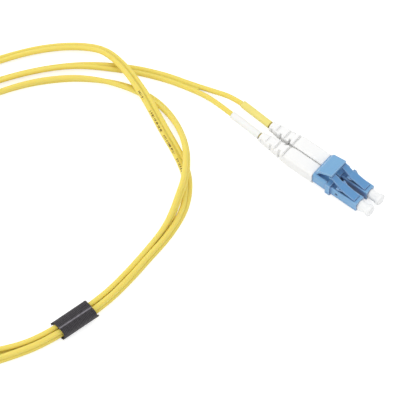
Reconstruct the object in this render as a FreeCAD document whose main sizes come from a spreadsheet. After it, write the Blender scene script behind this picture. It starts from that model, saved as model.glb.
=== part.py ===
"""Duplex LC fibre patch cord: two blue duplex LC connectors on one yellow duplex (zip) cord.

Frame: millimetres, +Z up, the floor at z = 0. The origin is on the floor under the middle of the near
connector's clip; +X runs along the near connector towards its ferrules. The cord lies behind it in a
loose coil held by a strap, and the far connector lies outside the coil with its ferrules towards -Y.
Each connector is drawn about its own clip: x runs from the boots (-) to the ferrules (+).
"""
import FreeCAD, Part
import math
import os
import Sketcher

Vector = FreeCAD.Vector

# Driving sizes, in millimetres (angles in degrees). Everything else is worked out from these.
SIZES = {
    # plug body
    "pitch": 6.25,              # between the two ferrule axes of a duplex LC
    "nose_side": 4.5,
    "nose_length": 11.85,
    "nose_edge": 0.3,           # rounding of the nose's long edges
    "collar_side": 6.1,
    "collar_length": 1.95,
    "collar_bevel": 0.8,        # cut from the collar's lower edges
    "neck_side": 3.9,           # square neck that the clip holds
    "seat_gap": 0.05,           # between faces that seat against each other
    "cavity_diameter": 3.3,     # round mouth of the nose
    "cavity_depth": 3.0,
    "web_thickness": 0.8,       # wall that the ferrule passes through
    "web_bore": 1.6,
    "chamber_diameter": 3.0,    # bore behind the web
    "window_start": 2.2,        # from the collar to the side window
    "window_length": 1.1,
    "window_height": 0.9,
    "step_depth": 0.35,         # of the nose's lowered top, from the collar to the latch's recess
    # latch
    "latch_setback": 1.4,       # from the nose's front face to the latch
    "latch_recess_length": 5.3,
    "latch_recess_depth": 0.45,
    "latch_width": 3.2,
    "latch_neck": 2.6,          # width just behind the lugs
    "latch_waist": 2.4,         # width of the thumb end
    "latch_thickness": 0.8,
    "latch_knuckle": 0.42,      # radius of the arm's root
    "latch_lug_reach": 2.3,     # of each side lug, from the arm's middle
    "latch_lug_length": 1.1,
    "latch_lug_back": 6.9,      # from the root to the lugs
    "latch_lug_drop": 0.2,      # of the lugs' tops below the arm's
    "latch_gusset": 1.4,        # length of the webs in front of the lugs
    "latch_gusset_drop": 0.5,
    "latch_rise": 2.05,         # of the arm's top at the lugs, above the nose
    "latch_bend_back": 10.5,    # from the root to the bend at the thumb end
    "latch_bend_rise": 4.2,
    "latch_tip": 1.2,           # length of the thumb end behind the bend
    "latch_tip_drop": 0.16,
    "latch_heel_drop": 0.252,   # of the arm's underside below the root's middle
    # ferrule and what carries it
    "ferrule_diameter": 1.25,
    "ferrule_length": 6.5,
    "ferrule_reach": 1.6,       # beyond the nose's front face
    "ferrule_tip_edge": 0.15,
    "flange_diameter": 2.8,
    "flange_length": 1.8,
    "flange_tail_diameter": 1.5,
    "flange_tail_length": 5.3,
    "spring_wire": 0.25,
    "spring_diameter": 2.2,
    "spring_turns": 6,
    "slip_gap": 0.05,           # round a piece that slides in a bore
    "backbone_lead": 0.5,       # of the rear body beyond the side window
    "backbone_bore": 2.3,
    "backbone_floor": 0.6,      # ledge that the spring stands on
    "tab_setback": 0.15,        # of each snap tab's end from the nose's side
    "post_diameter": 2.4,
    "post_length": 5.0,
    "post_flange_diameter": 4.4,
    "post_flange_length": 0.8,
    "crimp_wall": 0.35,
    "crimp_tail_length": 3.2,
    "fibre_diameter": 0.9,
    "cord_diameter": 2.0,       # one leg of the duplex cord
    # clip and trigger
    "clip_length": 6.2,
    "clip_width": 11.2,
    "clip_bottom": 0.7,
    "clip_top": 6.4,
    "clip_edge": 1.1,
    "clip_slot": 2.6,           # opening under each neck
    "clip_recess_width": 9.2,
    "clip_recess_depth": 0.75,
    "clip_rib": 1.9,            # of full height behind the recess
    "hinge_back": 2.0,          # from the clip's middle to the trigger's hinge
    "hinge_radius": 0.45,
    "plate_rear": 1.4,          # from the clip's middle back to the plate's upper rear edge
    "plate_front": 4.5,
    "plate_rear_height": 9.0,
    "plate_front_height": 11.0,
    "plate_thickness": 0.85,
    "plate_front_lean": 0.102,  # of the plate's front face, from its top to its bottom
    "plate_rear_inset": 0.765,  # of the bend's underside behind its top
    "plate_rear_width": 9.5,
    "plate_front_width": 8.5,
    # boot
    "boot_width": 5.8,
    "boot_edge": 0.8,
    "boot_block": 11.0,
    "boot_tail": 15.0,
    "boot_end": 3.4,
    "boot_end_edge": 0.7,
    "boot_bore": 2.5,
    "boot_slot": 0.9,
    "boot_slot_pitch": 4.3,
    "boot_slot_start": 2.3,
    "boot_core": 3.0,           # thickness left between opposite slots
    "boot_crimp_play": 0.15,    # round the crimped ring
    "boot_flange_play": 0.1,    # round the backbone's flange and behind it
    "boot_crimp_end_play": 0.2,
    # cap and sleeve
    "cap_skirt_diameter": 3.0,
    "cap_skirt_length": 1.8,
    "cap_body_diameter": 3.9,
    "cap_body_length": 3.6,
    "cap_head_diameter": 4.5,
    "cap_head_length": 1.75,
    "cap_head_edge": 0.35,
    "cap_bore_play": 0.11,
    "cap_bore_depth": 4.0,
    "sleeve_diameter": 2.9,
    "sleeve_length": 13.8,
    "sleeve_gap": 0.6,          # behind the boot
    "sleeve_run": 4.06,         # straight cord behind the sleeve
    "leg_start": 9.15,          # from the clip's middle back to the jacket's cut end
    "leg_yaw": 3.5,             # of the legs behind their boots
    # where the far connector lies, and the strap
    "far_x": -151.5,
    "far_y": -139.5,
    "strand_spacing": 2.1,      # between the two legs' axes in the zip stretch
    "strap_x": -31.0,
    "strap_y": -106.1,
    "strap_heading": 77.5,
    "strap_length": 14.2,
    "strap_width": 7.7,
    "strap_height": 6.8,
    "strap_wall": 1.1,
    "strap_edge": 1.5,
    "strap_inner_edge": 0.85,
}

# The zip cord's line from the near split, twice round the coil, to the far split:
# x, y, height of its lower leg above the floor, and its lie (0 = both legs level, 90 = on edge, degrees).
ZIP_ROUTE = [
    (-66.0, -1.6, 0.0, 0), (-73.0, -3.5, 0.0, 0), (-80.0, -6.2, 0.0, 0), (-86.2, -9.2, 0.0, 5),
    (-92.6, -13.1, 0.0, 10), (-100.2, -18.4, 0.0, 30), (-107.0, -24.6, 0.0, 45), (-113.6, -32.4, 0.0, 45),
    (-119.6, -41.2, 0.0, 45), (-126.5, -53.5, 0.0, 40), (-132.5, -68.0, 0.0, 30), (-136.3, -84.0, 0.0, 20),
    (-137.3, -101.0, 0.0, 10), (-134.4, -117.5, 0.0, 0), (-127.0, -132.0, 0.0, 0),
    (-115.5, -143.8, 0.0, 20), (-100.5, -151.3, 0.0, 45), (-84.0, -153.8, 0.0, 65),
    (-67.5, -151.0, 0.0, 80), (-53.5, -142.5, 0.0, 85), (-41.5, -129.8, 0.4, 85),
    (-34.8, -117.5, 1.3, 85), (-29.6, -94.2, 1.3, 85), (-29.6, -79.5, 0.5, 80),
    (-30.8, -67.0, 0.0, 78), (-31.2, -57.5, 0.0, 78), (-32.8, -50.3, 1.3, 78), (-35.1, -43.7, 3.5, 75),
    (-37.2, -38.2, 4.2, 72), (-40.5, -33.0, 4.1, 68), (-43.9, -28.6, 3.3, 68), (-47.9, -24.6, 2.6, 70),
    (-53.4, -20.4, 0.7, 70), (-58.9, -17.6, 0.0, 60), (-64.7, -15.9, 0.0, 48), (-70.4, -15.2, 0.0, 38),
    (-76.0, -15.5, 0.0, 35), (-81.6, -16.6, 0.0, 38), (-88.1, -19.0, 0.0, 50), (-94.6, -22.5, 0.0, 65),
    (-101.7, -27.6, 0.0, 76), (-110.0, -36.4, 0.0, 76), (-116.4, -46.0, 0.0, 70),
    (-122.2, -58.0, 0.0, 60), (-127.0, -71.5, 0.0, 50), (-129.8, -86.5, 0.0, 40),
    (-130.6, -102.0, 0.3, 25), (-129.6, -116.5, 1.4, 12), (-127.5, -128.0, 2.6, 3),
    (-124.0, -138.5, 2.7, 0), (-117.0, -149.8, 1.6, 10), (-106.0, -158.0, 0.0, 30),
    (-90.5, -162.8, 0.0, 50), (-73.5, -161.5, 0.0, 70), (-58.0, -153.5, 0.0, 82),
    (-46.6, -142.0, 0.0, 85), (-39.3, -131.0, 0.4, 85), (-32.4, -118.0, 1.3, 85),
    (-27.2, -94.7, 1.3, 85), (-27.2, -80.3, 0.5, 80), (-28.1, -68.5, 0.0, 78), (-28.3, -60.2, 0.0, 78),
    (-29.3, -52.5, 0.0, 76), (-31.4, -45.1, 0.0, 62), (-34.9, -39.0, 0.0, 42), (-39.2, -34.0, 0.0, 25),
    (-43.8, -30.5, 0.0, 15), (-50.4, -26.9, 0.0, 3), (-58.8, -23.6, 1.2, 0), (-66.1, -20.6, 3.0, 0),
    (-73.8, -17.4, 4.0, 8), (-81.5, -14.6, 4.0, 20), (-89.3, -12.2, 3.7, 24), (-98.3, -10.8, 2.7, 26),
    (-105.4, -12.3, 0.8, 26), (-112.9, -17.2, 0.0, 26), (-119.8, -24.7, 0.0, 25),
    (-125.6, -33.2, 0.0, 25), (-133.0, -46.5, 0.0, 15), (-139.8, -59.5, 0.0, 0),
]
# Free points of each leg between the sleeve and the split, at the near end and at the far end:
# x, y, height of its axis.
FREE_POINTS = {
    "a": ([(-57.0, 2.2, 1.4)], [(-145.6, -68.5, 1.0), (-150.9, -79.5, 1.6)]),
    "b": ([(-57.0, -1.0, 1.4)], [(-142.0, -69.5, 1.0), (-145.7, -80.0, 1.6)]),
}

BEND_SHARE = 0.45               # of the shorter run that a cord's arc takes up at each point
CORD_SIDES = 6                  # flat sides of a cord's tube, which keep its facets few
BOOT_SLOTS = 3                  # on each side of a boot's tail
OVERCUT = 1                     # reach of a cutting outline past the face that it opens
TINY = 1e-6
SPRING_SIDES = 9                # straight lengths in each turn of a spring
RIGHT_CORNERS = 1               # sweeping mode that mitres a path's corners

doc = FreeCAD.newDocument("lc_patch_cord")


class Size:
    """A length that knows its value and the spreadsheet expression behind it."""

    def __init__(self, value, text):
        self.value = value
        self.text = text

    def combine(self, sign, other, value):
        return Size(value, f"({self.text} {sign} {as_size(other).text})")

    def __add__(self, other):
        return self.combine("+", other, self.value + as_size(other).value)

    def __sub__(self, other):
        return self.combine("-", other, self.value - as_size(other).value)

    def __mul__(self, other):
        return self.combine("*", other, self.value * as_size(other).value)

    def __truediv__(self, other):
        return self.combine("/", other, self.value / as_size(other).value)

    def __neg__(self):
        return Size(-self.value, f"(0 - {self.text})")


def as_size(number):
    return number if isinstance(number, Size) else Size(float(number), repr(float(number)))


class Sizes:
    """Each driving size as an attribute."""


def make_sheet():
    sheet = doc.addObject("Spreadsheet::Sheet", "Sizes")
    sizes = Sizes()
    for row, (name, value) in enumerate(SIZES.items(), start=1):
        sheet.set(f"A{row}", name)
        sheet.set(f"B{row}", str(value))
        sheet.setAlias(f"B{row}", name)
        setattr(sizes, name, Size(float(value), f"Sizes.{name}"))
    doc.recompute()
    return sizes


S = make_sheet()

# Places that several pieces share, along a connector's own x and z.
CLIP_FRONT = S.clip_length / 2
COLLAR_REAR = CLIP_FRONT + S.seat_gap
COLLAR_FRONT = COLLAR_REAR + S.collar_length
NOSE_FRONT = COLLAR_FRONT + S.nose_length
NECK_REAR = -COLLAR_REAR
AXIS_HEIGHT = S.collar_side / 2
NOSE_TOP = AXIS_HEIGHT + S.nose_side / 2
WEB_REAR = NOSE_FRONT - S.cavity_depth - S.web_thickness
WINDOW_REAR = COLLAR_FRONT + S.window_start
WINDOW_FRONT = WINDOW_REAR + S.window_length
LATCH_ROOT = NOSE_FRONT - S.latch_setback - S.latch_knuckle
FLANGE_FRONT = WEB_REAR - S.seat_gap
FLANGE_REAR = FLANGE_FRONT - S.flange_length
POST_FLANGE_REAR = NECK_REAR - S.seat_gap - S.post_flange_length
POST_REAR = POST_FLANGE_REAR - S.post_length
CRIMP_REAR = POST_REAR - S.seat_gap - S.crimp_tail_length
BACKBONE_FRONT = WINDOW_FRONT + S.backbone_lead
SPRING_SEAT = NECK_REAR - S.seat_gap + S.backbone_floor
BOOT_FRONT = NECK_REAR - S.seat_gap
BLOCK_REAR = BOOT_FRONT - S.boot_block
BOOT_REAR = BLOCK_REAR - S.boot_tail
SLEEVE_FRONT = BOOT_REAR - S.sleeve_gap
CAP_FRONT = NOSE_FRONT + S.seat_gap
HINGE_HEIGHT = S.clip_top + S.hinge_radius + S.seat_gap

NEAR, FAR = "near", "far"
# Side of each leg in its connector: +1 is to the left of the direction in which the ferrules point.
SIDES = {(NEAR, "a"): 1, (NEAR, "b"): -1, (FAR, "a"): -1, (FAR, "b"): 1}


def node_name(end, name, leg=""):
    prefix = "far_" if end == FAR else ""
    suffix = f"_{leg}" if leg else ""
    return prefix + name + suffix


def place(item, end, leg="", forward=0, height=0, yaw=0.0, drawn_upright=False):
    """Put a piece drawn about its own axis into its connector, laid down along X if drawn along Z."""
    across = S.pitch / 2 * SIDES[(end, leg)] if leg else as_size(0)
    forward = as_size(forward)
    if end == NEAR:
        base = (forward, across)
        heading = yaw
    else:
        base = (S.far_x + across, S.far_y - forward)
        heading = yaw - 90.0
    height = as_size(height)
    turn = FreeCAD.Rotation(Vector(0, 0, 1), heading)
    if drawn_upright:
        turn = turn * FreeCAD.Rotation(Vector(0, 1, 0), 90)
    item.Placement = FreeCAD.Placement(Vector(base[0].value, base[1].value, height.value), turn)
    for axis, size in zip("xyz", (base[0], base[1], height)):
        item.setExpression(f".Placement.Base.{axis}", size.text)
    return item


def new_body(label):
    body = doc.addObject("PartDesign::Body", label)
    body.Label = label
    return body


def origin_feature(body, role):
    return next(item for item in body.Origin.OriginFeatures if item.Role == role)


def new_sketch(body, plane, offset=0):
    sketch = body.newObject("Sketcher::SketchObject", f"{body.Name}_sketch")
    sketch.AttachmentSupport = (origin_feature(body, plane + "_Plane"), [""])
    sketch.MapMode = "FlatFace"
    if isinstance(offset, Size):
        sketch.setExpression(".AttachmentOffset.Base.z", offset.text)
    return sketch


def fix(sketch, kind, geometry, point, size):
    """One dimension from the sketch's origin, or a circle's diameter, tied to its size."""
    size = as_size(size)
    parts = (kind, geometry, size.value) if point is None else (kind, geometry, point, size.value)
    index = sketch.addConstraint(Sketcher.Constraint(*parts))
    sketch.setExpression(f"Constraints[{index}]", size.text)


def outline(body, plane, corners, offset=0):
    """A closed outline of straight lines, each corner held by its two dimensions."""
    sketch = new_sketch(body, plane, offset)
    corners = [(as_size(x), as_size(y)) for x, y in corners]
    count = len(corners)
    for index, (x, y) in enumerate(corners):
        next_x, next_y = corners[(index + 1) % count]
        start, end = Vector(x.value, y.value, 0), Vector(next_x.value, next_y.value, 0)
        sketch.addGeometry(Part.LineSegment(start, end))
    sketch.addConstraint([Sketcher.Constraint("Coincident", index, 2, (index + 1) % count, 1)
                          for index in range(count)])
    for index, (x, y) in enumerate(corners):
        fix(sketch, "DistanceX", index, 1, x)
        fix(sketch, "DistanceY", index, 1, y)
    return sketch


def rectangle(body, plane, low, high, offset=0):
    (x0, y0), (x1, y1) = low, high
    return outline(body, plane, [(x0, y0), (x1, y0), (x1, y1), (x0, y1)], offset)


def disc(body, plane, diameter):
    """A circle about the sketch's origin."""
    sketch = new_sketch(body, plane)
    sketch.addGeometry(Part.Circle(Vector(0, 0, 0), Vector(0, 0, 1), diameter.value / 2))
    fix(sketch, "DistanceX", 0, 3, 0)
    fix(sketch, "DistanceY", 0, 3, 0)
    fix(sketch, "Diameter", 0, None, diameter)
    return sketch


def chamfered(width, height, edge):
    """Corners of an upright rectangle about the origin with its four corners cut at 45 degrees."""
    w, t, e = as_size(width) / 2, as_size(height) / 2, as_size(edge)
    return [(w - e, -t), (w, e - t), (w, t - e), (w - e, t),
            (e - w, t), (-w, t - e), (-w, e - t), (e - w, -t)]


def pad(body, sketch, length, symmetric=False):
    feature = body.newObject("PartDesign::Pad", f"{body.Name}_pad")
    feature.Profile = sketch
    feature.SideType = "Symmetric" if symmetric else "One side"
    feature.setExpression("Length", as_size(length).text)
    doc.recompute()
    return feature


def pocket(body, sketch, length=None, symmetric=False):
    """Cut a sketch's outline out of the body: to a depth, or right through both ways."""
    before = body.Shape.Volume
    feature = body.newObject("PartDesign::Pocket", f"{body.Name}_pocket")
    feature.Profile = sketch
    if length is None:
        feature.Type = "ThroughAll"
        feature.SideType = "Symmetric"
    else:
        feature.SideType = "Symmetric" if symmetric else "One side"
        feature.setExpression("Length", as_size(length).text)
    doc.recompute()
    if body.Shape.Volume >= before - TINY:
        raise RuntimeError(f"{feature.Name} cuts nothing")
    return feature


def turned(body, corners, cut=False):
    """Turn an outline of (x along the axis, radius) about the body's X axis."""
    sketch = outline(body, "XZ", corners)
    kind = "PartDesign::Groove" if cut else "PartDesign::Revolution"
    before = body.Shape.Volume if cut else 0
    feature = body.newObject(kind, f"{body.Name}_turned")
    feature.Profile = sketch
    feature.ReferenceAxis = (origin_feature(body, "X_Axis"), [""])
    feature.Angle = 360
    doc.recompute()
    if cut and body.Shape.Volume >= before - TINY:
        raise RuntimeError(f"{feature.Name} cuts nothing")
    return feature


def pattern(body, features, axis, spacing, count):
    feature = body.newObject("PartDesign::LinearPattern", f"{body.Name}_pattern")
    feature.Originals = features
    feature.Direction = (origin_feature(body, axis + "_Axis"), [""])
    feature.Mode = "Spacing"
    feature.Reversed = True
    feature.setExpression("Offset", spacing.text)
    feature.Occurrences = count
    body.Tip = feature
    doc.recompute()
    return feature


def round_edges(body, radius, chosen):
    """Fillet the edges of the body that chosen picks."""
    base = body.Tip
    names = [f"Edge{n}" for n, edge in enumerate(base.Shape.Edges, start=1)
             if len(edge.Vertexes) == 2 and chosen(edge)]
    feature = body.newObject("PartDesign::Fillet", f"{body.Name}_fillet")
    feature.Base = (base, names)
    feature.setExpression("Radius", radius.text)
    doc.recompute()
    return feature


def runs_along_x(edge):
    a, b = (v.Point for v in edge.Vertexes)
    return abs(a.y - b.y) < TINY and abs(a.z - b.z) < TINY


def collar_corners():
    """The collar's section: small cuts at its top, larger ones at its lower edges."""
    half, edge, bevel = S.collar_side / 2, S.nose_edge, S.collar_bevel
    return [(bevel - half, -half), (half - bevel, -half), (half, bevel - half), (half, half - edge),
            (half - edge, half), (edge - half, half), (-half, half - edge), (-half, bevel - half)]


def bore(body, rear, front, diameter):
    """A round hole along the body's axis."""
    turned(body, [(rear, 0), (front, 0), (front, diameter / 2), (rear, diameter / 2)], cut=True)


def cut_latch_seat(body):
    """The recess that takes the latch's root and the lowered top behind it."""
    top = S.nose_side / 2
    front = LATCH_ROOT + S.latch_knuckle + S.seat_gap
    rear = front - S.latch_recess_length
    width = S.latch_width + S.seat_gap * 2
    pocket(body, rectangle(body, "XZ", (rear, top - S.latch_recess_depth), (front, top + OVERCUT)),
           width, symmetric=True)
    pocket(body, rectangle(body, "XZ", (COLLAR_FRONT, top - S.step_depth),
                           (rear + OVERCUT, top + OVERCUT)), width, symmetric=True)


def plug_housing(end, leg):
    """Moulded plug body: neck, collar and hollow nose with its latch recess and side windows."""
    body = new_body(node_name(end, "plug_housing", leg))
    half_nose, half_neck, half_window = S.nose_side / 2, S.neck_side / 2, S.window_height / 2
    pad(body, rectangle(body, "YZ", (-half_nose, -half_nose), (half_nose, half_nose), COLLAR_REAR),
        NOSE_FRONT - COLLAR_REAR)
    round_edges(body, S.nose_edge, runs_along_x)
    pad(body, rectangle(body, "YZ", (-half_neck, -half_neck), (half_neck, half_neck), NECK_REAR),
        COLLAR_REAR - NECK_REAR)
    pad(body, outline(body, "YZ", collar_corners(), COLLAR_REAR), S.collar_length)
    bore(body, WEB_REAR + S.web_thickness, NOSE_FRONT + OVERCUT, S.cavity_diameter)
    bore(body, NECK_REAR - OVERCUT, WEB_REAR, S.chamber_diameter)
    bore(body, WEB_REAR - OVERCUT, NOSE_FRONT, S.web_bore)
    pocket(body, rectangle(body, "XZ", (WINDOW_REAR, -half_window), (WINDOW_FRONT, half_window)))
    cut_latch_seat(body)
    return place(body, end, leg, height=AXIS_HEIGHT)


def narrow_latch(body, lug_x, bend_x, tip_x):
    """Cut the arm's sides back behind the lugs, down to the waist of its thumb end."""
    outside = S.latch_width / 2 + OVERCUT
    neck, waist = S.latch_neck / 2, S.latch_waist / 2
    for side in (1, -1):
        pocket(body, outline(body, "XY", [(lug_x, outside * side), (lug_x, neck * side),
                                          (bend_x, waist * side), (tip_x - OVERCUT, waist * side),
                                          (tip_x - OVERCUT, outside * side)]))


def add_lugs(body, lug_x):
    """The side lugs and the webs that run forwards from them."""
    bottom = S.latch_rise - S.latch_thickness
    half_lug, reach, half_width = S.latch_lug_length / 2, S.latch_lug_reach, S.latch_width / 2
    pad(body, rectangle(body, "XZ", (lug_x - half_lug, bottom),
                        (lug_x + half_lug, S.latch_rise - S.latch_lug_drop)), reach * 2, symmetric=True)
    web_end = lug_x + half_lug + S.latch_gusset
    webs = [(lug_x, -reach), (lug_x + half_lug, -reach), (web_end, -half_width),
            (web_end, half_width), (lug_x + half_lug, reach), (lug_x, reach)]
    pad(body, outline(body, "XY", webs, bottom), S.latch_thickness - S.latch_gusset_drop)


def latch(end, leg):
    """Sprung latch arm with its side lugs; it rises rearwards from its root on the nose."""
    body = new_body(node_name(end, "latch", leg))
    knuckle, thick = S.latch_knuckle, S.latch_thickness
    lug_x, bend_x = -S.latch_lug_back, -S.latch_bend_back
    tip_x = bend_x - S.latch_tip
    tip_top = S.latch_bend_rise - S.latch_tip_drop
    pad(body, outline(body, "XZ", [(knuckle, 0), (knuckle, knuckle), (lug_x, S.latch_rise),
                                   (bend_x, S.latch_bend_rise), (tip_x, tip_top), (tip_x, tip_top - thick),
                                   (bend_x, S.latch_bend_rise - thick), (lug_x, S.latch_rise - thick),
                                   (-knuckle, -S.latch_heel_drop)]), S.latch_width, symmetric=True)
    pad(body, disc(body, "XZ", knuckle * 2), S.latch_width, symmetric=True)
    narrow_latch(body, lug_x, bend_x, tip_x)
    add_lugs(body, lug_x)
    return place(body, end, leg, forward=LATCH_ROOT, height=NOSE_TOP)


def ferrule(end, leg):
    """Ceramic ferrule with its chamfered tip."""
    body = new_body(node_name(end, "ferrule", leg))
    tip = NOSE_FRONT + S.ferrule_reach
    radius = S.ferrule_diameter / 2
    turned(body, [(tip - S.ferrule_length, 0), (tip, 0), (tip, radius - S.ferrule_tip_edge),
                  (tip - S.ferrule_tip_edge, radius), (tip - S.ferrule_length, radius)])
    return place(body, end, leg, height=AXIS_HEIGHT)


def ferrule_flange(end, leg):
    """Metal flange that holds the ferrule's root; its tail guides the spring."""
    body = new_body(node_name(end, "ferrule_flange", leg))
    socket_end = NOSE_FRONT + S.ferrule_reach - S.ferrule_length - S.seat_gap
    hole = S.fibre_diameter / 2 + S.slip_gap
    tail_end = FLANGE_REAR - S.flange_tail_length
    ferrule_radius = S.ferrule_diameter / 2
    turned(body, [(tail_end, hole), (socket_end, hole), (socket_end, ferrule_radius),
                  (FLANGE_FRONT, ferrule_radius), (FLANGE_FRONT, S.flange_diameter / 2),
                  (FLANGE_REAR, S.flange_diameter / 2), (FLANGE_REAR, S.flange_tail_diameter / 2),
                  (tail_end, S.flange_tail_diameter / 2)])
    return place(body, end, leg, height=AXIS_HEIGHT)


def ferrule_spring(end, leg):
    """Compression spring between the flange and the backbone's ledge, its turns drawn with flat sides."""
    wire = SIZES["spring_wire"]
    radius = (SIZES["spring_diameter"] - wire) / 2
    start = SPRING_SEAT + S.spring_wire
    reach = FLANGE_REAR.value - wire - start.value
    steps = int(SIZES["spring_turns"] * SPRING_SIDES)
    angles = [2 * math.pi * step / SPRING_SIDES for step in range(steps + 1)]
    turns = [Vector(radius * math.cos(angle), radius * math.sin(angle), reach * step / steps)
             for step, angle in enumerate(angles)]
    path = Part.makePolygon(turns)
    half = wire / 2
    corners = [Vector(radius + x, 0, z)
               for x, z in ((-half, -half), (half, -half), (half, half), (-half, half))]
    coil = path.makePipeShell([Part.makePolygon(corners + corners[:1])], True, False, RIGHT_CORNERS)
    label = node_name(end, "ferrule_spring", leg)
    item = doc.addObject("Part::Feature", label)
    item.Label = label
    item.Shape = coil
    return place(item, end, leg, forward=start, height=AXIS_HEIGHT, drawn_upright=True)


def backbone(end, leg):
    """Rear body: front tube with snap tabs, flange behind the neck and the crimp post."""
    body = new_body(node_name(end, "backbone", leg))
    tube = S.chamber_diameter / 2 - S.slip_gap
    chamber = S.backbone_bore / 2
    hole = S.fibre_diameter / 2 + S.slip_gap
    flange_front = NECK_REAR - S.seat_gap
    turned(body, [(POST_REAR, hole), (SPRING_SEAT, hole), (SPRING_SEAT, chamber), (BACKBONE_FRONT, chamber),
                  (BACKBONE_FRONT, tube), (flange_front, tube), (flange_front, S.post_flange_diameter / 2),
                  (POST_FLANGE_REAR, S.post_flange_diameter / 2), (POST_FLANGE_REAR, S.post_diameter / 2),
                  (POST_REAR, S.post_diameter / 2)])
    half_tab = S.window_height / 2 - S.slip_gap
    pad(body, rectangle(body, "XZ", (WINDOW_REAR + S.slip_gap, -half_tab),
                        (WINDOW_FRONT - S.slip_gap, half_tab)),
        S.nose_side - S.tab_setback * 2, symmetric=True)
    pocket(body, rectangle(body, "XZ", (WINDOW_REAR, -half_tab - OVERCUT),
                           (WINDOW_FRONT, half_tab + OVERCUT)), S.backbone_bore, symmetric=True)
    return place(body, end, leg, height=AXIS_HEIGHT)


def crimp_sleeve(end, leg):
    """Metal ring over the post, necked down on to the jacket."""
    body = new_body(node_name(end, "crimp_sleeve", leg))
    front = POST_FLANGE_REAR - S.seat_gap
    inner = S.post_diameter / 2 + S.slip_gap
    jacket = S.cord_diameter / 2 + S.slip_gap
    neck = POST_REAR - S.seat_gap
    turned(body, [(CRIMP_REAR, jacket), (neck, jacket), (neck, inner), (front, inner),
                  (front, inner + S.crimp_wall), (neck, inner + S.crimp_wall),
                  (CRIMP_REAR, jacket + S.crimp_wall)])
    return place(body, end, leg, height=AXIS_HEIGHT)


def buffered_fibre(end, leg):
    """0.9 mm buffered fibre from the jacket's cut end into the flange's tail."""
    label = node_name(end, "fibre", leg)
    item = doc.addObject("Part::Cylinder", label)
    item.Label = label
    rear = -S.leg_start
    item.setExpression("Radius", (S.fibre_diameter / 2).text)
    item.setExpression("Height", (FLANGE_REAR - S.flange_tail_length / 2 - rear).text)
    return place(item, end, leg, forward=rear, height=AXIS_HEIGHT, drawn_upright=True)


def slot_tail(body, plane, first):
    """A row of slots across the tail from both sides, up to its core."""
    core, outside = S.boot_core / 2, S.collar_side / 2 + OVERCUT
    corners = [((first - S.boot_slot, core * side), (first, outside * side)) for side in (1, -1)]
    slots = [pocket(body, rectangle(body, plane, low, high)) for low, high in corners]
    pattern(body, slots, "X", S.boot_slot_pitch, BOOT_SLOTS)


def hollow_boot(body):
    """The stepped hole that takes the backbone's flange, the crimped ring and the cord."""
    flange = S.post_flange_diameter / 2 + S.boot_flange_play
    ring = S.post_diameter / 2 + S.crimp_wall + S.boot_crimp_play
    cord = S.boot_bore / 2
    flange_end = POST_FLANGE_REAR - S.boot_flange_play
    ring_end = CRIMP_REAR - S.boot_crimp_end_play
    turned(body, [(BOOT_REAR - OVERCUT, 0), (BOOT_FRONT + OVERCUT, 0), (BOOT_FRONT + OVERCUT, flange),
                  (flange_end, flange), (flange_end, ring), (ring_end, ring), (ring_end, cord),
                  (BOOT_REAR - OVERCUT, cord)], cut=True)


def boot(end, leg):
    """Strain-relief boot: a square block that seats on the plug and a slotted tapering tail."""
    body = new_body(node_name(end, "boot", leg))
    block = chamfered(S.boot_width, S.collar_side, S.boot_edge)
    pad(body, outline(body, "YZ", block, BLOCK_REAR), S.boot_block)
    tail = body.newObject("PartDesign::AdditiveLoft", f"{body.Name}_tail")
    tail.Profile = outline(body, "YZ", block, BLOCK_REAR)
    rear = outline(body, "YZ", chamfered(S.boot_end, S.boot_end, S.boot_end_edge), BOOT_REAR)
    tail.Sections = [(rear, [""])]
    tail.Ruled = True
    doc.recompute()
    first_slot = BLOCK_REAR - S.boot_slot_start
    slot_tail(body, "XZ", first_slot)
    slot_tail(body, "XY", first_slot - S.boot_slot_pitch / 2)
    hollow_boot(body)
    return place(body, end, leg, height=AXIS_HEIGHT)


def id_sleeve(end, leg):
    """Coloured polarity sleeve, a plain tube on the leg behind the boot."""
    body = new_body(node_name(end, "id_sleeve", leg))
    hole = S.boot_bore / 2 - S.slip_gap
    turned(body, [(-S.sleeve_length, hole), (0, hole), (0, S.sleeve_diameter / 2),
                  (-S.sleeve_length, S.sleeve_diameter / 2)])
    return place(body, end, leg, forward=SLEEVE_FRONT, height=AXIS_HEIGHT, yaw=-SIZES["leg_yaw"])


def dust_cap(end, leg):
    """Soft cap over the ferrule: skirt in the nose, body and gripping head."""
    body = new_body(node_name(end, "dust_cap", leg))
    hole = (S.ferrule_diameter + S.cap_bore_play) / 2
    rear = CAP_FRONT - S.cap_skirt_length
    shoulder = CAP_FRONT + S.cap_body_length
    head = shoulder + S.cap_head_length
    floor = rear + S.cap_bore_depth
    edge = S.cap_head_edge
    turned(body, [(rear, hole), (rear, S.cap_skirt_diameter / 2), (CAP_FRONT, S.cap_skirt_diameter / 2),
                  (CAP_FRONT, S.cap_body_diameter / 2), (shoulder, S.cap_body_diameter / 2),
                  (shoulder, S.cap_head_diameter / 2), (head - edge, S.cap_head_diameter / 2),
                  (head, S.cap_head_diameter / 2 - edge), (head, 0), (floor, 0), (floor, hole)])
    return place(body, end, leg, height=AXIS_HEIGHT)


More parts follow.
